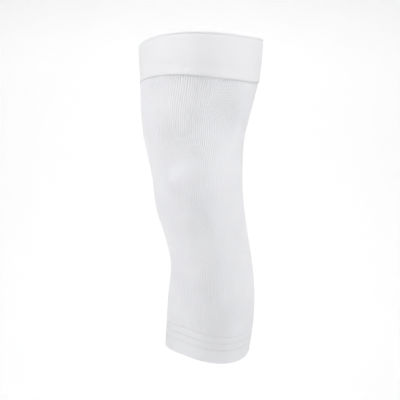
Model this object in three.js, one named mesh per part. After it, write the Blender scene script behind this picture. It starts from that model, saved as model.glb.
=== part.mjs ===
// Knee sleeve: a knitted tube with an elastic band sewn on above and a turned hem below.
// Millimetres. +Z runs up the leg hollow, -Y is the front, +X the outer side.
// The origin is in the middle of the hollow, level with the middle of the kneecap.
import * as THREE from "three";

// Driving dimensions
const thighWidth = 132; // side to side, at the knit under the band
const thighDepth = 154; // front to back, at the same height
const kneeWidth = 96;
const kneeDepth = 107;
const calfWidth = 102;
const calfDepth = 104;
const reachUp = 165; // kneecap middle to the top rim, at the front
const reachDown = 201; // kneecap middle to the bottom rim, at the front
const thighLean = 4; // degrees that the thigh tips back as it rises
const shinLean = 8.5; // degrees that the shin tips back as it falls
const kneecapWidth = 54;
const kneecapHeight = 60;
const kneecapRise = 5; // how far it stands out of the knee
const knitWall = 1.5;
const bandHeight = 46; // at the front
const bandLayer = 1.2; // what the band adds outside the knit
const seamTuck = 8; // how far the knit runs up behind the band's foot
const hemHeight = 31;
const hemLayer = 1.1; // the turned-up layer inside the knit
const hemLap = 6; // how far that layer passes the knit's lower edge
const clearance = 0.3; // between pieces that touch

// Fineness of the surfaces
const columns = 60; // facets round the leg
const bodyRows = 28;
const bandRows = 5; // along the band's plain inner face
const hemRows = 3;
const foldSteps = 4; // round a folded rim

const thigh = { width: thighWidth, depth: thighDepth };
const knee = { width: kneeWidth, depth: kneeDepth };
const calf = { width: calfWidth, depth: calfDepth };

// Cross-sections from the top down. "at" is a share of the reach above or below the kneecap.
// Width and side (a shift towards the outer side) are shares of the limb's width, front and back
// of its depth. Corner fills out the corners, and full widens the back against the front.
const sections = [
  { at: 1.16, limb: thigh, width: 0.965, side: -0.005, front: 0.52, back: 0.52, corner: 0.016, full: -0.02 },
  { at: 0.93, limb: thigh, width: 1.0, side: -0.018, front: 0.5, back: 0.495, corner: 0.016, full: -0.02 },
  { at: 0.72, limb: thigh, width: 0.983, side: -0.02, front: 0.475, back: 0.455, corner: 0.016, full: -0.02 },
  { at: 0.51, limb: thigh, width: 0.923, side: -0.05, front: 0.44, back: 0.41, corner: 0.018, full: 0 },
  { at: 0.3, limb: thigh, width: 0.829, side: -0.064, front: 0.4, back: 0.37, corner: 0.02, full: 0.02 },
  { at: 0.12, limb: knee, width: 1.052, side: -0.054, front: 0.53, back: 0.495, corner: 0.026, full: 0.02 },
  { at: -0.04, limb: knee, width: 1.0, side: -0.028, front: 0.515, back: 0.475, corner: 0.03, full: 0.02 },
  { at: -0.17, limb: knee, width: 0.991, side: -0.008, front: 0.505, back: 0.46, corner: 0.026, full: 0.02 },
  { at: -0.32, limb: calf, width: 0.888, side: 0.039, front: 0.495, back: 0.475, corner: 0.018, full: 0.05 },
  { at: -0.47, limb: calf, width: 0.885, side: 0.062, front: 0.475, back: 0.52, corner: 0.01, full: 0.08 },
  { at: -0.64, limb: calf, width: 0.966, side: 0.031, front: 0.455, back: 0.54, corner: 0.006, full: 0.1 },
  { at: -0.84, limb: calf, width: 1.0, side: -0.018, front: 0.43, back: 0.505, corner: 0.006, full: 0.1 },
  { at: -1.08, limb: calf, width: 0.961, side: -0.098, front: 0.4, back: 0.44, corner: 0.006, full: 0.08 },
];

// Swells and hollows that the knee gives the knit. "around" is in degrees from the outer side,
// counter-clockwise from above. "wide" is a share of the kneecap's width, "up" and "tall" of
// its height, and "high" of its rise.
const swells = [
  { name: "kneecap", around: 275, up: 0, wide: 0.56, tall: 0.6, high: 1 },
  { name: "dip above the kneecap", around: 277, up: 0.8, wide: 0.5, tall: 0.4, high: -0.24 },
  { name: "outer hollow", around: 294, up: -0.55, wide: 0.28, tall: 0.5, high: -0.44 },
  { name: "inner hollow", around: 256, up: -0.55, wide: 0.26, tall: 0.48, high: -0.36 },
  { name: "shin top", around: 273, up: -1.03, wide: 0.24, tall: 0.45, high: 0.32 },
];

// Rims. Each height is given at the front, and its waves are shares of the limb's width:
// outer and forward lift those sides once a turn, and saddle lifts two opposite sides,
// the first of them at "turn" degrees.
const rims = {
  top: { front: reachUp, limb: thigh, outer: 0.063, forward: 0.012, saddle: 0.033, turn: 79 },
  bandFoot: {
    front: reachUp - bandHeight, limb: thigh, outer: 0.032, forward: 0.026, saddle: 0.029, turn: 71,
  },
  bottom: { front: -reachDown, limb: calf, outer: -0.056, forward: -0.06, saddle: 0.034, turn: 65 },
};

// The band's outer face from its foot up. "up" is a share of the band's height, "out" of its layer.
const bandFace = [
  { up: 0, out: 0.9 },
  { up: 0.02, out: 1.25 },
  { up: 0.09, out: 1.2 },
  { up: 0.17, out: 0.8 },
  { up: 0.33, out: 0.9 },
  { up: 0.6, out: 1.05 },
  { up: 0.85, out: 1 },
];

const rad = THREE.MathUtils.degToRad;
const lerp = THREE.MathUtils.lerp;
const front = rad(270);

// The sections' sizes in millimetres, as smooth curves up and down the leg
function sectionCurves() {
  const rows = sections.map(({ at, limb, width, side, front, back, corner, full }) => {
    const height = at * (at > 0 ? reachUp : reachDown);
    const setBack = Math.abs(height) * Math.tan(rad(at > 0 ? thighLean : shinLean));
    const sizes = [(limb.width * width) / 2, limb.width * side, limb.depth * front, limb.depth * back];
    return { height, values: [...sizes, setBack, corner, full] };
  });
  rows.sort((a, b) => a.height - b.height);
  const heights = rows.map((row) => row.height);
  const values = rows.flatMap((row) => row.values);
  return new THREE.CubicInterpolant(heights, values, rows[0].values.length);
}
const curves = sectionCurves();

// How far the swells lift the knit at a place round the leg
function swellLift(angle, height, radius) {
  let lift = 0;
  for (const swell of swells) {
    const turn = angle - rad(swell.around);
    const across = Math.atan2(Math.sin(turn), Math.cos(turn)) * radius;
    const along = height - swell.up * kneecapHeight;
    const away = Math.hypot(across / (swell.wide * kneecapWidth), along / (swell.tall * kneecapHeight));
    lift += swell.high * kneecapRise * 0.5 * (1 + Math.cos(Math.PI * Math.min(away, 1)));
  }
  return lift;
}

// A point of the knit's outer face
function knitPoint(angle, height) {
  const [half, aside, fore, aft, setBack, corner, full] = [...curves.evaluate(height)];
  const rounding = (1 - corner * Math.cos(4 * angle)) / (1 - corner);
  const depth = Math.sin(angle) < 0 ? fore : aft;
  const x = half * Math.cos(angle) * rounding * (1 + full * Math.sin(angle));
  const y = depth * Math.sin(angle) * rounding;
  const radius = Math.hypot(x, y);
  const stretch = 1 + swellLift(angle, height, radius) / radius;
  return new THREE.Vector3(aside + x * stretch, setBack + y * stretch, height);
}

// A point at some distance out from that face, square to it
function wallPoint(angle, height, out) {
  const step = 0.5;
  const turn = step / thighWidth;
  const along = knitPoint(angle + turn, height).sub(knitPoint(angle - turn, height));
  const upward = knitPoint(angle, height + step).sub(knitPoint(angle, height - step));
  const outward = along.cross(upward).normalize();
  return knitPoint(angle, height).addScaledVector(outward, out);
}

// The height of a rim at an angle
function rimHeight(rim, angle) {
  const wave = (a) =>
    rim.outer * Math.cos(a) - rim.forward * Math.sin(a) + rim.saddle * Math.cos(2 * (a - rad(rim.turn)));
  return rim.front + rim.limb.width * (wave(angle) - wave(front));
}

const top = (angle) => rimHeight(rims.top, angle);
const bandFoot = (angle) => rimHeight(rims.bandFoot, angle);
const bottom = (angle) => rimHeight(rims.bottom, angle);
const above = (rim, distance) => (angle) => rim(angle) + distance;
const between = (low, high, share) => (angle) => lerp(low(angle), high(angle), share);

// Points from one rim to another at a constant distance out from the knit's face
function straightRun(from, to, out, rows) {
  return Array.from({ length: rows + 1 }, (_, i) => ({ height: between(from, to, i / rows), out }));
}

// The rounded rim of a folded layer: half a circle from one face to the other.
// Direction is 1 for a fold that closes the wall above and -1 for one below.
function foldedRim(rim, fromOut, toOut, direction) {
  const middle = (fromOut + toOut) / 2;
  const half = (fromOut - toOut) / 2;
  const radius = Math.abs(half);
  return Array.from({ length: foldSteps + 1 }, (_, i) => {
    const turn = (Math.PI * i) / foldSteps;
    const rise = direction * radius * (Math.sin(turn) - 1);
    return { height: above(rim, rise), out: middle + half * Math.cos(turn) };
  });
}

// Carries a closed loop of wall points round the leg. The loop runs up outside and down inside.
function carriedRound(loop) {
  const positions = [];
  const indices = [];
  for (let c = 0; c < columns; c += 1) {
    const angle = (2 * Math.PI * c) / columns;
    for (const { height, out } of loop) positions.push(...wallPoint(angle, height(angle), out).toArray());
  }
  for (let c = 0; c < columns; c += 1) {
    for (let r = 0; r < loop.length; r += 1) {
      const here = c * loop.length;
      const next = ((c + 1) % columns) * loop.length;
      const up = (r + 1) % loop.length;
      indices.push(here + r, next + r, next + up, here + r, next + up, here + up);
    }
  }
  const geometry = new THREE.BufferGeometry();
  geometry.setAttribute("position", new THREE.Float32BufferAttribute(positions, 3));
  geometry.setIndex(indices);
  geometry.computeVertexNormals();
  return geometry;
}

function piece(name, loop, colour) {
  const material = new THREE.MeshStandardMaterial({ color: colour, roughness: 0.9, metalness: 0 });
  const mesh = new THREE.Mesh(carriedRound(loop), material);
  mesh.name = name;
  return mesh;
}

const innerFace = -knitWall;
const hemTop = above(bottom, hemHeight);
const knitTop = above(bandFoot, seamTuck);
const knitFoot = above(hemTop, clearance);

// The knitted tube, from the hem's upper edge to a tuck behind the band's foot
function sleeveBody() {
  return piece(
    "sleeve_body",
    [...straightRun(knitFoot, knitTop, 0, bodyRows), ...straightRun(knitTop, knitFoot, innerFace, bodyRows)],
    0xf0f1f3,
  );
}

// The doubled elastic band, folded over at the top and stepped at its foot to take the knit's edge
function topBand() {
  const outer = clearance + bandLayer;
  const foldStart = above(top, -(outer - innerFace) / 2);
  const ledge = above(knitTop, clearance);
  const face = bandFace.map(({ up, out }) => ({
    height: between(bandFoot, foldStart, up),
    out: clearance + bandLayer * out,
  }));
  return piece(
    "top_band",
    [
      ...face,
      ...foldedRim(top, outer, innerFace, 1),
      ...straightRun(foldStart, ledge, innerFace, bandRows).slice(1),
      { height: ledge, out: clearance },
      { height: bandFoot, out: clearance },
    ],
    0xf6f6f7,
  );
}

// The turned hem: its outer layer carries on from the knit, its inner layer laps up behind it
function bottomHem() {
  const lapOut = innerFace - clearance;
  const inner = lapOut - hemLayer;
  const foldEnd = above(bottom, -inner / 2);
  const lapTop = above(hemTop, hemLap);
  return piece(
    "bottom_hem",
    [
      ...foldedRim(bottom, inner, 0, -1),
      ...straightRun(foldEnd, hemTop, 0, hemRows).slice(1),
      { height: hemTop, out: lapOut },
      { height: lapTop, out: lapOut },
      ...straightRun(lapTop, foldEnd, inner, hemRows).slice(0, -1),
    ],
    0xf0f1f3,
  );
}

const kneeSleeve = new THREE.Group();
kneeSleeve.add(sleeveBody(), topBand(), bottomHem());

export default kneeSleeve;
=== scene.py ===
import math

import bmesh
import bpy
import numpy as np
from mathutils import Matrix, Vector
from mathutils.bvhtree import BVHTree


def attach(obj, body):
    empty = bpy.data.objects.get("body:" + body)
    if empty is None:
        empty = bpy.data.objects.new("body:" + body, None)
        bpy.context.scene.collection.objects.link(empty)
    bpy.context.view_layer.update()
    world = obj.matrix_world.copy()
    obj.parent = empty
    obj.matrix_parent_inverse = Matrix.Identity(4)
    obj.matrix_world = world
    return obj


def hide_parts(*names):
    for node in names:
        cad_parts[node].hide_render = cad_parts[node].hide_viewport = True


# Knee sleeve: a ribbed elastic tube, a doubled elastic band above and a turned hem below.
# Metres. +Z runs up the leg hollow, -Y is the front, +X the outer side.
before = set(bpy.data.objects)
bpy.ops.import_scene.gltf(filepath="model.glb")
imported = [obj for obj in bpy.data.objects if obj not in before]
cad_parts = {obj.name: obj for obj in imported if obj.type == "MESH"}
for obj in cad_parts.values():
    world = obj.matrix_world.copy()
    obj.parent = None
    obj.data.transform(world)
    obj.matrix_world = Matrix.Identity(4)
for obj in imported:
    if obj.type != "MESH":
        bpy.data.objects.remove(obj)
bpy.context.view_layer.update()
mm = 0.001
print("frame loaded")


# Camera

shot = {
    "azimuth": 25,  # degrees, front of the knee to the left of the picture
    "elevation": 3,
    "distance": 1.2,
    "aim": (0, 0, -20.7 * mm),
    "viewWidth": 0.46,  # what the picture spans at the aim
    "sensor": 36,  # mm
    "clip": (0.05, 30),
}


def makeCamera():
    data = bpy.data.cameras.new("photo_camera")
    data.sensor_width = shot["sensor"]
    data.lens = shot["sensor"] * shot["distance"] / shot["viewWidth"]
    data.clip_start, data.clip_end = shot["clip"]
    camera = bpy.data.objects.new("photo_camera", data)
    bpy.context.scene.collection.objects.link(camera)
    turn, rise = math.radians(shot["azimuth"]), math.radians(shot["elevation"])
    back = Vector((math.sin(turn) * math.cos(rise), -math.cos(turn) * math.cos(rise), math.sin(rise)))
    camera.location = Vector(shot["aim"]) + back * shot["distance"]
    camera.rotation_euler = (-back).to_track_quat("-Z", "Y").to_euler()
    bpy.context.scene.camera = camera


makeCamera()
print("camera placed")


# The form: how far the knit's outer face stands from a middle line, on a grid of heights and
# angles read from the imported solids, then smoothed so that no facet is left.

form = {
    "heightStep": 2 * mm,
    "angles": 360,
    "margin": 24 * mm,  # how far the grid runs past both rims
    "wall": 1.5 * mm,  # the knit's thickness in the solids
    "blurUp": 4 * mm,
    "blurRound": 3.2,  # degrees
    "rimBlur": 3.5,  # degrees
    "rimGap": 1.5 * mm,  # heights this close to a rim or seam aren't read
    "castFrom": 0.2,  # rays from outside start here
    "slopeRows": 8,  # past the rims the form goes on at the slope of so many rows
    "hemDrop": 1.5 * mm,  # the hem hangs this much below the solids' rim
    "stations": 14,  # where the middle line is read, and how
    "stationInset": 20 * mm,
    "stationReach": 12 * mm,
    "lineBlur": 16 * mm,
    "normalTurn": 1.5,  # degrees and height over which the way out is taken
    "normalRise": 3 * mm,
    "evenSteps": 720,
    "settleRounds": 3,
}


def mergedCopy(nodes):
    # one welded copy of some solids: a tree to cast rays at, its corners and its edges
    bm = bmesh.new()
    for name in nodes:
        bm.from_mesh(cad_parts[name].data)
    bmesh.ops.remove_doubles(bm, verts=bm.verts, dist=0.001 * mm)
    bm.verts.index_update()
    tree = BVHTree.FromBMesh(bm)
    points = np.array([v.co for v in bm.verts])
    edges = np.array([[v.index for v in e.verts] for e in bm.edges])
    bm.free()
    return tree, points, edges


def smoothRound(values, degrees):
    # a Gaussian blur round the leg, on the last axis
    count = values.shape[-1]
    sigma = degrees * count / 360
    k = np.fft.rfftfreq(count) * count
    weight = np.exp(-0.5 * (2 * math.pi * k * sigma / count) ** 2)
    return np.fft.irfft(np.fft.rfft(values, axis=-1) * weight, n=count, axis=-1)


def smoothUp(values, distance):
    # a Gaussian blur up and down the leg, on the first axis
    sigma = distance / form["heightStep"]
    reach = int(3 * sigma) + 1
    kernel = np.exp(-0.5 * (np.arange(-reach, reach + 1) / sigma) ** 2)
    kernel /= kernel.sum()
    # the ends go on at their own slope
    first = values[0] + (values[0] - values[1]) * np.arange(reach, 0, -1)[:, None]
    last = values[-1] + (values[-1] - values[-2]) * np.arange(1, reach + 1)[:, None]
    padded = np.concatenate([first, values, last])
    return sum(w * padded[i:i + len(values)] for i, w in enumerate(kernel))


def smoothStep(x):
    x = np.clip(x, 0, 1)
    return x * x * (3 - 2 * x)


def bump(x, width):
    # 1 at 0, falling smoothly to 0 at the width
    return 0.5 * (1 + np.cos(math.pi * np.clip(np.abs(x) / width, 0, 1)))


def middleLine(points):
    # the middle of the hollow at each height, from the solids' own corners
    low, high = points[:, 2].min(), points[:, 2].max()
    stations = np.linspace(low + form["stationInset"], high - form["stationInset"], form["stations"])
    near = [points[np.abs(points[:, 2] - z) < form["stationReach"]] for z in stations]
    middle = np.array([(p.min(0) + p.max(0)) / 2 for p in near])
    heights = np.arange(low - form["margin"], high + form["margin"], form["heightStep"])
    line = np.stack([np.interp(heights, stations, middle[:, i]) for i in (0, 1)], 1)
    line = smoothUp(line, form["lineBlur"])
    return heights, line[:, 0], line[:, 1]


allTree, allPoints, _ = mergedCopy(["sleeve_body", "top_band", "bottom_hem"])
_, bodyPoints, bodyEdges = mergedCopy(["sleeve_body"])
_, hemPoints, hemEdges = mergedCopy(["bottom_hem"])
_, bandPoints, bandEdges = mergedCopy(["top_band"])
lineZ, lineX, lineY = middleLine(allPoints)


def middleAt(z):
    return np.interp(z, lineZ, lineX), np.interp(z, lineZ, lineY)


def rimCurve(points, edges, pick):
    # a rim's height at each whole degree: the highest or lowest place where an edge crosses it
    x, y = middleAt(points[:, 2])
    angle = np.degrees(np.arctan2(points[:, 1] - y, points[:, 0] - x)) % 360
    start, end = angle[edges[:, 0]], angle[edges[:, 1]]
    end = start + (end - start + 180) % 360 - 180
    low, high = points[edges[:, 0], 2], points[edges[:, 1], 2]
    curve = np.empty(360)
    for d in range(360):
        t = ((d + 0.01 - start + 180) % 360 - 180) / np.where(end == start, 1, end - start)
        crossed = (t >= 0) & (t <= 1) & (np.abs(end - start) > 1e-6)
        heights = (low + t * (high - low))[crossed]
        curve[d] = heights.max() if pick == "high" else heights.min()
    return smoothRound(curve, form["rimBlur"])


topRim = rimCurve(bandPoints, bandEdges, "high")
bandFoot = rimCurve(bandPoints, bandEdges, "low")
bottomRim = rimCurve(hemPoints, hemEdges, "low") - form["hemDrop"]
hemTop = rimCurve(bodyPoints, bodyEdges, "low")
degree = np.arange(360)


def atAngle(curve, angle):
    return np.interp(np.degrees(angle) % 360, np.append(degree, 360), np.append(curve, curve[0]))


def readForm():
    # below the band's foot rays come from outside; in the band they go out from the middle to its inner
    # face, and the knit's wall is added
    low = allPoints[:, 2].min() - form["margin"]
    high = allPoints[:, 2].max() + form["margin"]
    heights = np.arange(low, high, form["heightStep"])
    angles = np.arange(form["angles"]) * 2 * math.pi / form["angles"]
    radius = np.full((len(heights), len(angles)), np.nan)
    rims = [atAngle(c, angles) for c in (bottomRim, hemTop, bandFoot, topRim)]
    gap = form["rimGap"]
    for i, z in enumerate(heights):
        x, y = middleAt(z)
        middle = Vector((x, y, z))
        for j, angle in enumerate(angles):
            bottom, seam, foot, top = (r[j] for r in rims)
            out = Vector((math.cos(angle), math.sin(angle), 0))
            if bottom + 2 * gap < z < seam - gap or seam + gap < z < foot - gap:
                hit = allTree.ray_cast(middle + out * form["castFrom"], -out)[0]
                radius[i, j] = (hit - middle).length
            elif foot + gap < z < top - 2 * gap:
                hit = allTree.ray_cast(middle, out)[0]
                radius[i, j] = (hit - middle).length + form["wall"]
    # what lies past the rims goes on in line with what is next to it
    for j in range(len(angles)):
        known = np.flatnonzero(~np.isnan(radius[:, j]))
        inside = np.arange(known[0], known[-1] + 1)
        radius[inside, j] = np.interp(inside, known, radius[known, j])
        span = form["slopeRows"]
        first, last = known[0], known[-1]
        below = (radius[first, j] - radius[first + span, j]) / span
        above = (radius[last, j] - radius[last - span, j]) / span
        radius[:first, j] = radius[first, j] + below * np.arange(first, 0, -1)
        radius[last + 1:, j] = radius[last, j] + above * np.arange(1, len(heights) - last)
    return heights, smoothUp(smoothRound(radius, form["blurRound"]), form["blurUp"])


# what lies under the knit, finer than the solids: turn in degrees, the rest in millimetres
swells = {
    "kneecap pressed flatter": {"turn": 257, "height": 5, "wide": 56, "tall": 45, "rise": -4.1},
    "outside of the kneecap": {"turn": 290, "height": 13, "wide": 26, "tall": 21, "rise": 1.3},
    "inner side of the kneecap": {"turn": 266, "height": -4, "wide": 26, "tall": 27, "rise": 1.8},
    "rim of the kneecap": {"turn": 264, "height": 3, "wide": 17, "tall": 18, "rise": 1.6},
    "hollow above the inner knee": {"turn": 237, "height": 25, "wide": 22, "tall": 26, "rise": -0.9},
    "front thigh": {"turn": 275, "height": 64, "wide": 42, "tall": 70, "rise": 3.0},
    "groove beside the front thigh": {"turn": 319, "height": 115, "wide": 53, "tall": 87, "rise": -2.9},
    "dip above the outer knee": {"turn": 323, "height": 75, "wide": 33, "tall": 39, "rise": -4.5},
    "tendon above the outer knee": {"turn": 320, "height": 49, "wide": 18, "tall": 20, "rise": 0.6},
    "outer thigh": {"turn": 344, "height": 96, "wide": 21, "tall": 43, "rise": 1.0},
    "kneecap tendon": {"turn": 281, "height": -32, "wide": 36, "tall": 31, "rise": 2.6},
    "inner hollow": {"turn": 255, "height": -43, "wide": 17, "tall": 35, "rise": 1.5},
    "shin edge": {"turn": 291, "height": -97, "wide": 32, "tall": 63, "rise": 2.2},
    "lower crest of the shin": {"turn": 306, "height": -115, "wide": 10, "tall": 52, "rise": 0.8},
    "outer shin plane": {"turn": 335, "height": -24, "wide": 39, "tall": 64, "rise": -4.1},
    "outer calf": {"turn": 315, "height": -131, "wide": 38, "tall": 60, "rise": 2.1},
    "inner shin": {"turn": 262, "height": -151, "wide": 30, "tall": 68, "rise": -3.1},
    "front of the ankle": {"turn": 324, "height": -168, "wide": 18, "tall": 43, "rise": 1.0},
}


def addSwells(heights, radius):
    turn = np.arange(radius.shape[1]) * 360 / radius.shape[1]
    lifted = radius
    for swell in swells.values():
        away = np.radians((turn - swell["turn"] + 180) % 360 - 180)
        across = away * radius / mm / swell["wide"]
        along = (heights[:, None] / mm - swell["height"]) / swell["tall"]
        lifted = lifted + swell["rise"] * mm * bump(np.hypot(across, along), 1)
    return lifted


gridHeights, gridRadius = readForm()
gridRadius = addSwells(gridHeights, gridRadius)
gridAngles = form["angles"]


def knitFace(angle, height):
    # points of the knit's outer face; angle and height are arrays
    i = np.clip((height - gridHeights[0]) / form["heightStep"], 0, len(gridHeights) - 1.001)
    j = (angle / (2 * math.pi) * gridAngles) % gridAngles
    i0, j0 = np.floor(i).astype(int), np.floor(j).astype(int) % gridAngles
    j1 = (j0 + 1) % gridAngles
    partUp, partRound = i - i0, j - np.floor(j)
    low = (1 - partRound) * gridRadius[i0, j0] + partRound * gridRadius[i0, j1]
    high = (1 - partRound) * gridRadius[i0 + 1, j0] + partRound * gridRadius[i0 + 1, j1]
    radius = (1 - partUp) * low + partUp * high
    x, y = middleAt(height)
    return np.stack([x + radius * np.cos(angle), y + radius * np.sin(angle), height], -1)


def wallPoints(angle, height, out):
    # points at a distance out from the knit's face, square to it
    turn, rise = math.radians(form["normalTurn"]), form["normalRise"]
    around = knitFace(angle + turn, height) - knitFace(angle - turn, height)
    up = knitFace(angle, height + rise) - knitFace(angle, height - rise)
    normal = np.cross(around, up)
    normal /= np.linalg.norm(normal, axis=-1, keepdims=True)
    return knitFace(angle, height) + normal * np.asarray(out)[..., None]


def evenAngles():
    # for each height, the angles that part the way round into equal lengths, from the back
    steps = form["evenSteps"]
    fine = math.pi / 2 + np.arange(steps + 1) * 2 * math.pi / steps
    table = np.empty((len(gridHeights), steps + 1))
    for i, z in enumerate(gridHeights):
        ring = knitFace(fine, np.full(steps + 1, z))
        length = np.concatenate([[0], np.cumsum(np.linalg.norm(np.diff(ring, axis=0), axis=1))])
        table[i] = np.interp(np.arange(steps + 1) / steps, length / length[-1], fine)
    return table


evenTable = evenAngles()


def waleAngle(share, height):
    # the angle of a wale, given as its share of the way round, at each height
    steps = evenTable.shape[1] - 1
    i = np.clip((height - gridHeights[0]) / form["heightStep"], 0, len(gridHeights) - 1.001)
    k = np.clip(share * steps, 0, steps - 0.001)
    i0, k0 = np.floor(i).astype(int), np.floor(k).astype(int)
    partUp, partRound = i - i0, k - k0
    low = (1 - partRound) * evenTable[i0, k0] + partRound * evenTable[i0, k0 + 1]
    high = (1 - partRound) * evenTable[i0 + 1, k0] + partRound * evenTable[i0 + 1, k0 + 1]
    return (1 - partUp) * low + partUp * high


def girthAt(height):
    fine = np.arange(361) * math.pi / 180
    ring = knitFace(fine, np.full(361, height))
    return np.linalg.norm(np.diff(ring, axis=0), axis=1).sum()


print("form read: girths", [round(girthAt(z * mm) * 1000) for z in (140, 60, 0, -60, -120, -190)])


# Tubes: a ring of edges is extruded along a wall's profile and each ring is laid on the form

def newPiece(name, bm):
    mesh = bpy.data.meshes.new(name)
    bm.to_mesh(mesh)
    bm.free()
    mesh.shade_smooth()
    piece = bpy.data.objects.new(name, mesh)
    bpy.context.scene.collection.objects.link(piece)
    return piece


def layTube(name, columns, rows, knit):
    # each row is a function: it takes the columns' shares of the way round and gives their angles,
    # heights and distances out from the form
    bm = bmesh.new()
    for layer in ("column", "line"):
        bm.verts.layers.int.new(layer)
    column, line = bm.verts.layers.int["column"], bm.verts.layers.int["line"]
    ring = bmesh.ops.create_circle(bm, segments=columns, radius=1)["verts"]
    for i, v in enumerate(ring):
        v[column] = i
    share = np.arange(columns) / columns
    firstEdges = list(bm.edges)
    edges = firstEdges
    places = []
    values = []
    for r, row in enumerate(rows):
        angle, height, out = row(share)
        places.append(wallPoints(angle, height, out))
        values.append(height)
        if r:
            grown = bmesh.ops.extrude_edge_only(bm, edges=edges)["geom"]
            edges = [g for g in grown if isinstance(g, bmesh.types.BMEdge)]
            ring = [g for g in grown if isinstance(g, bmesh.types.BMVert)]
        for v in ring:
            v[line] = r
            v.co = places[r][v[column]]
    bmesh.ops.bridge_loops(bm, edges=firstEdges + edges)
    bmesh.ops.recalc_face_normals(bm, faces=bm.faces)
    columnOf = np.array([v[column] for v in bm.verts])
    lineOf = np.array([v[line] for v in bm.verts])
    for layer in ("column", "line"):
        bm.verts.layers.int.remove(bm.verts.layers.int[layer])
    piece = newPiece(name, bm)
    mesh = piece.data
    # the knit's own map: u counts wales round the leg, v courses up it
    corner = np.empty(len(mesh.loops), int)
    mesh.loops.foreach_get("vertex_index", corner)
    u = columnOf[corner].reshape(-1, 4) / columns
    u = np.where((u.max(1, keepdims=True) - u.min(1, keepdims=True) > 0.5) & (u < 0.5), u + 1, u)
    v = np.array(values)[lineOf[corner], columnOf[corner]]
    uv = np.stack([u.ravel() * knit["wales"], v / knit["course"]], -1)
    layer = mesh.uv_layers.new(name="knit")
    layer.data.foreach_set("uv", uv.astype(np.float32).ravel())
    return piece


def settle(share, angle, heightAt, rounds):
    # a wale's angle depends on its height and a rim's height on the angle: a few rounds settle both
    for _ in range(rounds):
        height = heightAt(angle)
        angle = waleAngle(share, height)
    return angle, height


def onRim(curve, rise, share):
    # a row at a constant distance above a rim
    start = waleAngle(share, np.zeros(share.shape))
    return settle(share, start, lambda angle: atAngle(curve, angle) + rise, form["settleRounds"])


def betweenRims(lower, upper, part, share):
    # a row some part of the way from one rim to another, each given as a curve and a distance above it
    def heightAt(angle):
        low = atAngle(lower[0], angle) + lower[1]
        return low + part * (atAngle(upper[0], angle) + upper[1] - low)

    start = onRim(lower[0], 0, share)[0]
    return settle(share, start, heightAt, form["settleRounds"])


# Ribbed body

ribKnit = {
    "wales": 160,  # ribs round the leg
    "columnsPerRib": 6,
    "section": (0.0, 0.62, 0.93, 1.0, 0.93, 0.62),  # across a rib: a narrow valley, then a rounded top
    "ribHeight": 0.5 * mm,
    "innerRib": 0.12 * mm,
    "wall": 1.5 * mm,
    "course": 1.25 * mm,  # one row of loops
    "tuck": 7.5 * mm,  # behind the band's foot
    "hemRows": (0, 0.3 * mm, 0.9 * mm, 2.2 * mm),  # the first rows, above the hem
    "rowsCoarse": 6.5 * mm,
    "rowsFine": 3.6 * mm,
    "fine": (-75 * mm, 62 * mm),  # the heights with fine rows
    "rowsAtFoot": 1.3 * mm,
    "footZone": 7 * mm,  # so far below the band's foot the rows get finer still
    "innerRows": 22,
}

# where the ribs are lower or higher than elsewhere
ribChanges = {
    "kneecap": {"turn": 278, "wide": 42, "height": 17 * mm, "tall": 29 * mm, "flatter": 0.85},
    "thigh": {"from": 20 * mm, "over": 50 * mm, "knee": 0.8, "more": 0.5},
    "seam": {"over": 2.5 * mm, "least": 0.15},
}

# how far the knit lies back under the band and at the hem; depths in millimetres
pressed = {
    "underBand": {"depth": 0.3, "over": 2.6 * mm},
    "front": {"depth": 0.2, "turn": 300, "wide": 75, "height": 0.4 * mm, "tall": 2.0 * mm},
    "lowerEdge": {"depth": 0.3, "tall": 0.9 * mm},
}


def ribFade(angle, height):
    # the knit is drawn flat over the kneecap and runs out of ribs at the hem's seam
    knee, thigh, seam = ribChanges["kneecap"], ribChanges["thigh"], ribChanges["seam"]
    across = (np.degrees(angle) % 360 - knee["turn"]) / knee["wide"]
    along = (height - knee["height"]) / knee["tall"]
    flat = knee["flatter"] * bump(np.hypot(across, along), 1)
    high = thigh["knee"] + thigh["more"] * smoothStep((height - thigh["from"]) / thigh["over"])
    clear = smoothStep((height - atAngle(hemTop, angle)) / seam["over"])
    return high * (1 - flat) * (seam["least"] + (1 - seam["least"]) * clear)


def bodyPressed(angle, height):
    # the band's foot presses the ribs in, most at the front, and the lower edge is rounded
    under, front, edge = pressed["underBand"], pressed["front"], pressed["lowerEdge"]
    up = height - atAngle(bandFoot, angle)
    depth = under["depth"] * smoothStep(up / under["over"] + 1)
    atFront = bump(np.degrees(angle) % 360 - front["turn"], front["wide"])
    depth = depth + front["depth"] * atFront * bump(up - front["height"], front["tall"])
    return (depth + edge["depth"] * bump(height - atAngle(hemTop, angle), edge["tall"])) * mm


def bodyRows():
    section = np.tile(ribKnit["section"], ribKnit["wales"])
    low = float(hemTop.mean())
    foot = float(bandFoot.mean())
    heights = [low + up for up in ribKnit["hemRows"]]
    while heights[-1] < foot + ribKnit["tuck"]:
        if heights[-1] > foot - ribKnit["footZone"]:
            step = ribKnit["rowsAtFoot"]
        elif ribKnit["fine"][0] < heights[-1] < ribKnit["fine"][1]:
            step = ribKnit["rowsFine"]
        else:
            step = ribKnit["rowsCoarse"]
        heights.append(heights[-1] + step)
    parts = (np.array(heights) - low) / (heights[-1] - low)

    def outer(part):
        def row(share):
            angle, height = betweenRims((hemTop, 0), (bandFoot, ribKnit["tuck"]), part, share)
            rib = ribKnit["ribHeight"] * (section - 0.5) * ribFade(angle, height)
            return angle, height, rib - bodyPressed(angle, height)
        return row

    def inner(part):
        def row(share):
            angle, height = betweenRims((hemTop, 0), (bandFoot, ribKnit["tuck"]), part, share)
            return angle, height, -ribKnit["wall"] + ribKnit["innerRib"] * (section - 0.5)
        return row

    innerParts = np.linspace(1, 0, ribKnit["innerRows"])
    return [outer(part) for part in parts] + [inner(part) for part in innerParts]


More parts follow.
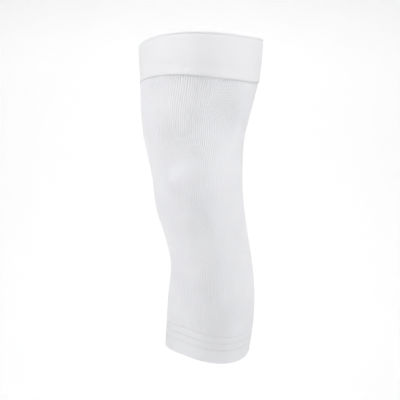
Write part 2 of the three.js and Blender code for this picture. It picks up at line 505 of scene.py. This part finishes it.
body = layTube("ribbed_knit", ribKnit["wales"] * ribKnit["columnsPerRib"], bodyRows(), ribKnit)
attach(body, "root")
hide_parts("sleeve_body")
print("ribbed body", len(body.data.polygons) * 2, "triangles")


# Top band

band = {
    "columns": 480,
    "wales": 480,
    "course": 0.9 * mm,
    "middleRows": 5,
    "innerRows": 9,
    # the outer face from the foot up: millimetres above the foot, and out
    "low": [
        (0.6, 0.15), (0.2, 0.35), (0.0, 0.6), (0.05, 0.9), (0.35, 1.15), (1.0, 1.32), (2.2, 1.38),
        (3.8, 1.34), (5.2, 1.22), (7.0, 1.08), (8.5, 1.0), (10.5, 0.97), (13, 1.05), (16, 1.25),
        (20, 1.45),
    ],
    # up to the fold and over it: millimetres below the top, and out
    "high": [
        (9.0, 1.5), (6.5, 1.5), (5.0, 1.45), (4.1, 1.3), (3.5, 1.12), (2.9, 1.3), (2.2, 1.6),
        (1.5, 1.75), (0.9, 1.7), (0.4, 1.35), (0.1, 0.75), (0.0, 0.1), (0.15, -0.6), (0.6, -1.2),
        (1.4, -1.5), (3.0, -1.5),
    ],
    # the inner face and the step that the knit's edge lies against: millimetres above the foot, and out
    "inner": -1.5,
    "innerFrom": 9,
    "step": [(8.5, -1.2), (8.3, 0.1), (4.0, 0.12), (1.6, 0.12)],
}

# low forms on the band: turns and widths in degrees, the rest in millimetres
bandForms = {
    "flatFoot": {
        "turn": 224, "wide": 48, "height": 1.5, "tall": 5, "depth": 0.45,
        "from": 0.2, "over": 0.8,  # how far out the flattening starts, and grows to its full depth
    },
    "lowWaves": {"count": 5, "start": 40, "height": 9, "tall": 12, "depth": 0.10},
    "highWaves": {"count": 9, "start": 10, "height": 26, "tall": 20, "depth": 0.08},
    "crease": {"turn": 281, "wide": 1.13, "height": 7.0, "tall": 5.5, "depth": 0.8},
}


def bandRelief(angle, height):
    # slow waves in the elastic, and a short crease near the foot at the front
    turn = np.degrees(angle) % 360
    up = height - atAngle(bandFoot, angle)
    relief = 0
    for wave in (bandForms["lowWaves"], bandForms["highWaves"]):
        swing = wave["depth"] * np.sin(np.radians(turn * wave["count"] + wave["start"]))
        relief = relief + swing * bump(up - wave["height"] * mm, wave["tall"] * mm)
    crease = bandForms["crease"]
    along = bump(up - crease["height"] * mm, crease["tall"] * mm)
    return (relief - crease["depth"] * bump(turn - crease["turn"], crease["wide"]) * along) * mm


def footFlattened(angle, up, out):
    # on the leg's inner side the band's foot lies flatter
    flat = bandForms["flatFoot"]
    aside = bump(np.degrees(angle) % 360 - flat["turn"], flat["wide"])
    share = bump(up - flat["height"], flat["tall"]) * smoothStep((out - flat["from"]) / flat["over"])
    return flat["depth"] * mm * aside * share


def bandRows():
    def low(up, out):
        def row(share):
            angle, height = onRim(bandFoot, up * mm, share)
            return angle, height, out * mm + bandRelief(angle, height) - footFlattened(angle, up, out)
        return row

    def high(down, out):
        def row(share):
            angle, height = onRim(topRim, -down * mm, share)
            return angle, height, out * mm + bandRelief(angle, height) * (out > 0)
        return row

    def between(part, out, start, end):
        def row(share):
            angle, height = betweenRims((bandFoot, start * mm), (topRim, end * mm), part, share)
            return angle, height, out * mm + bandRelief(angle, height) * (out > 0)
        return row

    middleStart, middleEnd, middleOut = band["low"][-1][0], -band["high"][0][0], band["high"][0][1]
    parts = np.linspace(0, 1, band["middleRows"] + 2)[1:-1]
    middle = [between(part, middleOut, middleStart, middleEnd) for part in parts]
    # down the inner face, from the last row of the fold to just above the step
    parts = np.linspace(1, 0, band["innerRows"] + 1)[1:]
    inner = [between(part, band["inner"], band["innerFrom"], -band["high"][-1][0]) for part in parts]
    step = [low(*row) for row in band["step"]]
    lower = [low(*row) for row in band["low"]]
    upper = [high(*row) for row in band["high"]]
    return lower + middle + upper + inner + step


topBand = layTube("elastic_band", band["columns"], bandRows(), band)
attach(topBand, "root")
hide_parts("top_band")
print("band", len(topBand.data.polygons) * 2, "triangles")


# Bottom hem

hem = {
    "columns": 720,
    "height": 31,  # mm, as the profile below counts it
    "seamGap": 0.15 * mm,
    "wales": 240,
    "course": 1.1 * mm,
    "settleRounds": 4,
    # the fold at the rim: millimetres above the rim, and out
    "fold": [
        (0.6, -2.4), (0.15, -1.8), (0.0, -1.1), (0.15, -0.45), (0.6, 0.05), (1.2, 0.28), (1.8, 0.25),
        (2.6, 0.05),
    ],
    # rows of the outer face, close where the stitches are
    "face": [
        4, 6.5, 9, 11.5, 13.2, 14.0, 14.5, 15.0, 15.5, 16.0, 16.8, 18.5, 20.2, 21.4, 22.0, 22.5, 23.0,
        23.5, 24.0, 24.8, 26, 27.5, 29, 30.2,
    ],
    # in at the seam, up behind the knit, and down the inner face
    "seam": [(30.7, 0.0), (30.9, -0.1), (31.0, -0.35), (31.0, -1.6)],
    "behind": [(31.6, -1.85), (36.8, -1.85), (37.0, -2.4), (36.6, -2.9)],
    "inner": -2.9,
    "innerSpan": (33, 1.6),
    "innerRows": 8,
    "smooth": (2.5, -1.2),  # no relief below this height or further in than this
}

# lengths along a row in metres, heights in millimetres above the bottom rim
hemStitch = {
    "rows": (23.0, 15.0),
    "pitch": 3.6 * mm,
    "length": 1.7 * mm,
    "stagger": 0.37,  # of a pitch, from one row to the next
    "girthAt": 19 * mm,
    "pitDepth": 0.55 * mm,
    "pitTall": 1.5,
    "pitEase": 0.08,  # of a pitch, at each end
    "radius": 0.34 * mm,
    "sides": 6,
    "along": (-1, -0.5, 0, 0.5, 1),  # rings of a thread, from end to end
    "endSize": 0.45,
    "sunk": (0.75, 0.5),  # of the pit's depth, in the middle, and as much more at the ends
    "raised": 0.6,  # of the thread's radius
}

# low forms on the hem; heights in millimetres above the rim
hemForms = {
    "furrow": {"tall": 2.6, "depth": 0.05 * mm},
    "slackCourse": {"height": 27.6, "tall": 3.4, "depth": 0.12 * mm},
    "waves": {"count": 6, "height": 8, "tall": 8, "depth": 0.10 * mm},
}


def onHem(up, share):
    # a row of the hem, so many millimetres above the rim; the outer layer ends at the body's lower edge
    full = hem["height"]

    def heightAt(angle):
        rim, seam = atAngle(bottomRim, angle), atAngle(hemTop, angle) - hem["seamGap"]
        return rim + min(up / full, 1) * (seam - rim) + max(up - full, 0) * mm

    start = waleAngle(share, np.full(share.shape, float(hemTop.mean())))
    return settle(share, start, heightAt, hem["settleRounds"])


def stitchSpacing():
    # the girth between the two rows, and the number of stitches in a row
    girth = girthAt(float(bottomRim.mean()) + hemStitch["girthAt"])
    return girth, round(girth / hemStitch["pitch"])


def hemRelief(share, angle, up):
    # pits where the needle draws the hem in, a soft furrow along each row, a slack course at the top
    # and slow waves near the rim
    count = stitchSpacing()[1]
    ease = hemStitch["pitEase"]
    furrow, slack, waves = hemForms["furrow"], hemForms["slackCourse"], hemForms["waves"]
    out = np.zeros(share.shape)
    for n, row in enumerate(hemStitch["rows"]):
        phase = (share * count + hemStitch["stagger"] * n) % 1 - 0.5
        halfLength = hemStitch["length"] / hemStitch["pitch"] / 2
        along = smoothStep((halfLength + ease - np.abs(phase)) / (2 * ease))
        out -= hemStitch["pitDepth"] * along * bump(up - row, hemStitch["pitTall"])
        out -= furrow["depth"] * bump(up - row, furrow["tall"])
    out -= slack["depth"] * bump(up - slack["height"], slack["tall"])
    swing = np.sin(np.radians(np.degrees(angle) * waves["count"]))
    return out + waves["depth"] * swing * bump(up - waves["height"], waves["tall"])


def hemRows():
    def row(up, out):
        def place(share):
            angle, height = onHem(up, share)
            if up > hem["smooth"][0] and out > hem["smooth"][1]:
                return angle, height, out * mm + hemRelief(share, angle, up)
            return angle, height, np.full(share.shape, out * mm)
        return place

    face = [(up, 0.0) for up in hem["face"]]
    inner = [(up, hem["inner"]) for up in np.linspace(*hem["innerSpan"], hem["innerRows"])]
    return [row(*place) for place in hem["fold"] + face + hem["seam"] + hem["behind"] + inner]


bottomHem = layTube("turned_hem", hem["columns"], hemRows(), hem)
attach(bottomHem, "root")
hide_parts("bottom_hem")
print("hem", len(bottomHem.data.polygons) * 2, "triangles")


# Hem stitches: short threads lying in their pits

def makeStitches():
    bm = bmesh.new()
    girth, count = stitchSpacing()
    radius, endSize = hemStitch["radius"], hemStitch["endSize"]
    middleSunk, moreSunk = hemStitch["sunk"]
    last = len(hemStitch["along"]) - 1
    for n, up in enumerate(hemStitch["rows"]):
        share = ((np.arange(count) + 0.5 - hemStitch["stagger"] * n) / count) % 1
        half = hemStitch["length"] / girth / 2
        rings = []
        for part in hemStitch["along"]:
            angle, height = onHem(up, (share + part * half) % 1)
            depth = hemStitch["pitDepth"] * (middleSunk + moreSunk * part ** 2)
            out = radius * hemStitch["raised"] - depth
            rings.append(wallPoints(angle, height, np.full(count, out)))
        for k in range(count):
            path = [Vector(ring[k]) for ring in rings]
            first = bmesh.ops.create_circle(bm, segments=hemStitch["sides"], radius=radius)["verts"]
            turn = (path[1] - path[0]).to_track_quat("Z", "Y")
            for v in first:
                v.co = turn @ (v.co * endSize) + path[0]
            edges = list(dict.fromkeys(e for v in first for e in v.link_edges))
            bmesh.ops.contextual_create(bm, geom=edges)
            for i in range(1, last + 1):
                grown = bmesh.ops.extrude_edge_only(bm, edges=edges)["geom"]
                edges = [g for g in grown if isinstance(g, bmesh.types.BMEdge)]
                verts = [g for g in grown if isinstance(g, bmesh.types.BMVert)]
                middle = sum((v.co for v in verts), Vector()) / len(verts)
                # thin at both ends and full in between
                size = 1 / endSize if i == 1 else endSize if i == last else 1
                for v in verts:
                    v.co = (v.co - middle) * size + path[i]
            bmesh.ops.contextual_create(bm, geom=edges)
    bmesh.ops.recalc_face_normals(bm, faces=bm.faces)
    return newPiece("hem_stitches", bm)


stitches = makeStitches()
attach(stitches, "root")
print("stitches", sum(len(p.vertices) - 2 for p in stitches.data.polygons), "triangles")


# Materials

def linear(colour):
    # sRGB hex to the linear values that shaders take
    parts = [int(colour[i:i + 2], 16) / 255 for i in (1, 3, 5)]
    return tuple(p / 12.92 if p <= 0.04045 else ((p + 0.055) / 1.055) ** 2.4 for p in parts) + (1,)


def addNode(tree, kind, settings=None, inputs=None):
    # one node and its settings; an input takes a value, a socket, or a node's first output
    node = tree.nodes.new(kind)
    for key, value in (settings or {}).items():
        setattr(node, key, value)
    for key, value in (inputs or {}).items():
        source = value.outputs[0] if isinstance(value, bpy.types.Node) else value
        if isinstance(source, bpy.types.NodeSocket):
            tree.links.new(source, node.inputs[key])
        else:
            node.inputs[key].default_value = source
    return node


def newMaterial(name):
    material = bpy.data.materials.new(name)
    material.use_nodes = True
    tree = material.node_tree
    tree.nodes.clear()
    return material, tree


multiply = {"operation": "MULTIPLY"}
multiplyAdd = {"operation": "MULTIPLY_ADD"}
subtract = {"operation": "SUBTRACT"}

# how the loops are drawn, on all three knits, and how much painted shade darkens their gaps
knitPattern = {
    "columnRelief": 0.55,
    "columnPower": 3,  # higher makes a column flatter, with steeper edges
    "loopRelief": 0.45,
    "fuzzRelief": 0.25,
    "fuzzDetail": 3,
    "driftDetail": 2,
    "reliefPaintedShade": 0.8,
    "driftShade": 0.3,
    # where the knit is drawn tight the painted shade in the gaps closes up to one even tone, within so
    # far of the middle
    "tightFrom": 8 * mm,
    "tightTo": 34 * mm,
    "tightLeast": 0.25,
    "tightPaintedShade": 0.6,
    "ior": 1.5,
    "specular": 0.3,
    "sheenRoughness": 0.5,
}


def knitMaterial(look):
    # upright columns of V loops, drawn on the map that counts wales and courses
    pattern = knitPattern
    material, tree = newMaterial(look["name"])
    uv = addNode(tree, "ShaderNodeUVMap", {"uv_map": "knit"})
    parts = addNode(tree, "ShaderNodeSeparateXYZ", inputs={0: uv})
    # 0 in the middle of a column and 1 at its edge
    fold = addNode(tree, "ShaderNodeMath", {"operation": "PINGPONG"}, {0: parts.outputs["X"], 1: 0.5})
    across = addNode(tree, "ShaderNodeMath", multiplyAdd, {0: fold, 1: -2, 2: 1})
    # each loop's two legs lean out from the middle
    phase = addNode(tree, "ShaderNodeMath", multiplyAdd, {
        0: across, 1: -look["lean"], 2: parts.outputs["Y"],
    })
    turn = addNode(tree, "ShaderNodeMath", multiply, {0: phase, 1: 2 * math.pi})
    wave = addNode(tree, "ShaderNodeMath", {"operation": "SINE"}, {0: turn})
    half = pattern["loopRelief"] / 2
    loops = addNode(tree, "ShaderNodeMath", multiplyAdd, {0: wave, 1: half, 2: half})
    # each column is round, and falls away steeply at its edge
    edge = addNode(tree, "ShaderNodeMath", {"operation": "POWER"}, {
        0: across, 1: pattern["columnPower"],
    })
    rest = addNode(tree, "ShaderNodeMath", subtract, {0: 1, 1: edge})
    column = addNode(tree, "ShaderNodeMath", {"operation": "SQRT"}, {0: rest})
    relief = addNode(tree, "ShaderNodeMath", multiplyAdd, {
        0: column, 1: pattern["columnRelief"], 2: loops,
    })
    # loose fibres stand up from the yarn
    place = addNode(tree, "ShaderNodeTexCoord").outputs["Object"]
    fuzz = addNode(tree, "ShaderNodeTexNoise", inputs={
        "Vector": place, "Scale": 1 / look["fuzz"], "Detail": pattern["fuzzDetail"],
    })
    height = addNode(tree, "ShaderNodeMath", multiplyAdd, {
        0: fuzz, 1: pattern["fuzzRelief"], 2: relief,
    })
    surface = addNode(tree, "ShaderNodeBump", inputs={
        "Strength": look["strength"], "Distance": look["depth"], "Height": height,
    })
    # painted shade: the yarn is darkened towards the gap colour in the valleys and between loops, and
    # the tone drifts slowly over the piece
    drift = addNode(tree, "ShaderNodeTexNoise", inputs={
        "Vector": place, "Scale": 1 / look["drift"], "Detail": pattern["driftDetail"],
    })
    faint = addNode(tree, "ShaderNodeMath", multiply, {0: drift, 1: pattern["driftShade"]})
    paintedShadeAndDrift = addNode(tree, "ShaderNodeMath", multiplyAdd, {
        0: relief, 1: pattern["reliefPaintedShade"], 2: faint,
    })
    if "tight" in look:
        # the painted shade in the gaps fades out over the kneecap
        away = addNode(tree, "ShaderNodeVectorMath", {"operation": "DISTANCE"}, {
            0: place, 1: look["tight"],
        })
        spread = addNode(tree, "ShaderNodeMapRange", inputs={
            "Value": away.outputs["Value"], "From Min": pattern["tightFrom"],
            "From Max": pattern["tightTo"], "To Min": pattern["tightLeast"], "To Max": 1,
        })
        contrast = addNode(tree, "ShaderNodeMath", subtract, {0: paintedShadeAndDrift, 1: pattern["tightPaintedShade"]})
        paintedShadeAndDrift = addNode(tree, "ShaderNodeMath", multiplyAdd, {
            0: contrast, 1: spread, 2: pattern["tightPaintedShade"],
        })
    # painted shade: the gap colour darkens the valleys, mixed into the yarn's own colour
    colour = addNode(tree, "ShaderNodeMix", {"data_type": "RGBA"}, {
        "Factor": paintedShadeAndDrift, 6: linear(look["gap"]), 7: linear(look["yarn"]),
    })
    shader = addNode(tree, "ShaderNodeBsdfPrincipled", inputs={
        "Base Color": colour.outputs[2], "Normal": surface, "Roughness": look["roughness"],
        "IOR": pattern["ior"], "Specular IOR Level": pattern["specular"],
        "Sheen Weight": look["sheen"], "Sheen Roughness": pattern["sheenRoughness"],
    })
    addNode(tree, "ShaderNodeOutputMaterial", inputs={0: shader})
    return material


# A fibre is about 0.02 mm thick, far too fine to show, so the fuzz is drawn as coarse as 0.3 to
# 0.4 mm. Uneven tension in the yarn makes the shade drift over about 45 mm.

tightAt = ribChanges["kneecap"]  # drawn tight over the kneecap

# nylon-covered elastane, rib knitted on a circular machine: a dull white with painted shade in the
# narrow valleys, a soft edge to every highlight and a little sheen at grazing angles
ribLook = {
    "name": "ribbed_elastic_knit", "yarn": "#f1f1f3", "gap": "#b6b7bc", "lean": 0.9,
    "fuzz": 0.385 * mm, "drift": 45 * mm, "strength": 0.5, "depth": 0.25 * mm,
    "roughness": 0.9, "sheen": 0.15,
    "tight": tuple(knitFace(math.radians(tightAt["turn"]), tightAt["height"])),
}
# a closer, thicker knit of the same yarn, folded double: almost even in tone, with faint painted shade
# in its gaps, and smoother to the eye
bandLook = {
    "name": "close_elastic_knit", "yarn": "#e9e9ea", "gap": "#d4d4d7", "lean": 0.6,
    "fuzz": 0.333 * mm, "drift": 45 * mm, "strength": 0.3, "depth": 0.12 * mm,
    "roughness": 0.85, "sheen": 0.2,
}
# plain knit with slacker loops: matt, with the loops just showing as small arrows and painted shade in
# their gaps
hemLook = {
    "name": "plain_hem_knit", "yarn": "#e9e9eb", "gap": "#c8c9cd", "lean": 0.8,
    "fuzz": 0.385 * mm, "drift": 45 * mm, "strength": 0.4, "depth": 0.2 * mm,
    "roughness": 0.9, "sheen": 0.15,
}

for piece, look in ((body, ribLook), (topBand, bandLook), (bottomHem, hemLook)):
    piece.data.materials.append(knitMaterial(look))


threadLook = {
    # the thread itself is white; its grey colour is painted shade from the pits
    "name": "polyester_thread", "colour": "#cfd0d3", "roughness": 0.6, "ior": 1.5,
    "twist": 0.55 * mm,  # the plies turn every 0.5 to 0.6 mm
    "detail": 2, "strength": 0.3, "depth": 0.1 * mm,
}


def threadMaterial(look):
    # twisted polyester sewing thread: a little glossier than the knit, and painted grey as shade for
    # the pits it lies in
    material, tree = newMaterial(look["name"])
    place = addNode(tree, "ShaderNodeTexCoord").outputs["Object"]
    plies = addNode(tree, "ShaderNodeTexNoise", inputs={
        "Vector": place, "Scale": 1 / look["twist"], "Detail": look["detail"],
    })
    surface = addNode(tree, "ShaderNodeBump", inputs={
        "Strength": look["strength"], "Distance": look["depth"], "Height": plies,
    })
    shader = addNode(tree, "ShaderNodeBsdfPrincipled", inputs={
        "Base Color": linear(look["colour"]), "Normal": surface,
        "Roughness": look["roughness"], "IOR": look["ior"],
    })
    addNode(tree, "ShaderNodeOutputMaterial", inputs={0: shader})
    return material


stitches.data.materials.append(threadMaterial(threadLook))
print("materials set")


# Studio: a pale floor that curves up into a pale wall, and soft lights

studio = {
    "floor": -0.55,
    "near": -3.6,
    "wall": 2.3,  # behind the leg's middle
    "height": 3.2,
    "width": 7.0,
    "bend": 0.9,
    "bendSegments": 24,
    "paint": "#fbfbfb",
    "roomRadius": 3.4,
    "roomSides": 96,
    "roomPaint": "#d8d8da",
    "roughness": 0.95,
    "specular": 0.1,
    "lampAim": (0, 0, -0.02),
    "world": 0.02,
}

# turn is counted from the camera's side, to the right of the picture, and rise upwards, in degrees
lights = {
    "left_high": {"turn": -75, "rise": 35, "away": 1.7, "size": (0.7, 1.0), "power": 18.35},
    "front": {"turn": 0, "rise": 0, "away": 1.7, "size": (0.7, 0.6), "power": 8.8},
    "right_high": {"turn": 50, "rise": 60, "away": 1.7, "size": (0.7, 1.0), "power": 18.15},
    "right": {"turn": 75, "rise": 0, "away": 1.7, "size": (0.7, 1.0), "power": 0.6},
    "right_back": {"turn": 100, "rise": -6, "away": 1.7, "size": (0.7, 0.7), "power": 6.2},
    "top": {"turn": 0, "rise": 89, "away": 1.6, "size": (1.2, 1.2), "power": 2.6},
    "wall_wash": {
        "turn": 180, "rise": 20, "away": 1.2, "size": (3.0, 0.5), "power": 10.4, "aim": (0, 2.2, -0.55),
    },
}


def paintMaterial(name, colour):
    # matt emulsion, rolled on: an even pale grey with no highlight
    material, tree = newMaterial(name)
    paint = addNode(tree, "ShaderNodeBsdfPrincipled", inputs={
        "Base Color": linear(colour),
        "Roughness": studio["roughness"], "Specular IOR Level": studio["specular"],
    })
    addNode(tree, "ShaderNodeOutputMaterial", inputs={0: paint})
    return material


def makeStage():
    bm = bmesh.new()
    width = studio["width"] / 2
    corners = [bm.verts.new((x, studio["near"], studio["floor"])) for x in (-width, width)]
    edge = bm.edges.new(corners)
    folds = []
    for move in ((0, studio["wall"] - studio["near"], 0), (0, 0, studio["height"])):
        grown = bmesh.ops.extrude_edge_only(bm, edges=[edge])["geom"]
        edge = next(g for g in grown if isinstance(g, bmesh.types.BMEdge))
        bmesh.ops.translate(bm, vec=move, verts=edge.verts)
        folds.append(edge)
    bmesh.ops.bevel(bm, geom=[folds[0]], offset=studio["bend"], offset_type="OFFSET", affect="EDGES",
                    segments=studio["bendSegments"], profile=0.5, material=-1)
    bmesh.ops.recalc_face_normals(bm, faces=bm.faces)
    turn = Matrix.Rotation(math.radians(shot["azimuth"]), 3, "Z")
    bmesh.ops.rotate(bm, verts=bm.verts, cent=(0, 0, 0), matrix=turn)
    sweep = newPiece("studio_sweep", bm)
    sweep.data.materials.append(paintMaterial("matt_floor_paint", studio["paint"]))


def makeRoom():
    # a pale wall all round, so that no view looks out into the dark
    bm = bmesh.new()
    bmesh.ops.create_circle(bm, segments=studio["roomSides"], radius=studio["roomRadius"])
    bmesh.ops.translate(bm, vec=(0, 0, studio["floor"]), verts=bm.verts)
    grown = bmesh.ops.extrude_edge_only(bm, edges=list(bm.edges))["geom"]
    upper = [g for g in grown if isinstance(g, bmesh.types.BMVert)]
    bmesh.ops.translate(bm, vec=(0, 0, studio["height"]), verts=upper)
    bmesh.ops.recalc_face_normals(bm, faces=bm.faces)
    bmesh.ops.reverse_faces(bm, faces=bm.faces)
    room = newPiece("studio_room", bm)
    room.data.materials.append(paintMaterial("matt_wall_paint", studio["roomPaint"]))


def makeLights():
    for name, light in lights.items():
        data = bpy.data.lights.new(name, "AREA")
        data.shape = "RECTANGLE"
        data.size, data.size_y = light["size"]
        data.energy = light["power"]
        lamp = bpy.data.objects.new(name, data)
        bpy.context.scene.collection.objects.link(lamp)
        turn, rise = math.radians(shot["azimuth"] + light["turn"]), math.radians(light["rise"])
        aside, up = math.cos(rise) * light["away"], math.sin(rise) * light["away"]
        lamp.location = (math.sin(turn) * aside, -math.cos(turn) * aside, up)
        aim = Vector(light.get("aim", studio["lampAim"]))
        aim.rotate(Matrix.Rotation(math.radians(shot["azimuth"]), 3, "Z"))
        lamp.rotation_euler = (aim - lamp.location).to_track_quat("-Z", "Y").to_euler()
    world = bpy.data.worlds.new("studio_air")
    world.use_nodes = True
    air = world.node_tree.nodes["Background"].inputs
    air["Color"].default_value = (1, 1, 1, 1)
    air["Strength"].default_value = studio["world"]
    bpy.context.scene.world = world


makeStage()
makeRoom()
makeLights()
bpy.context.scene.view_settings.view_transform = "Standard"
print("studio lit")
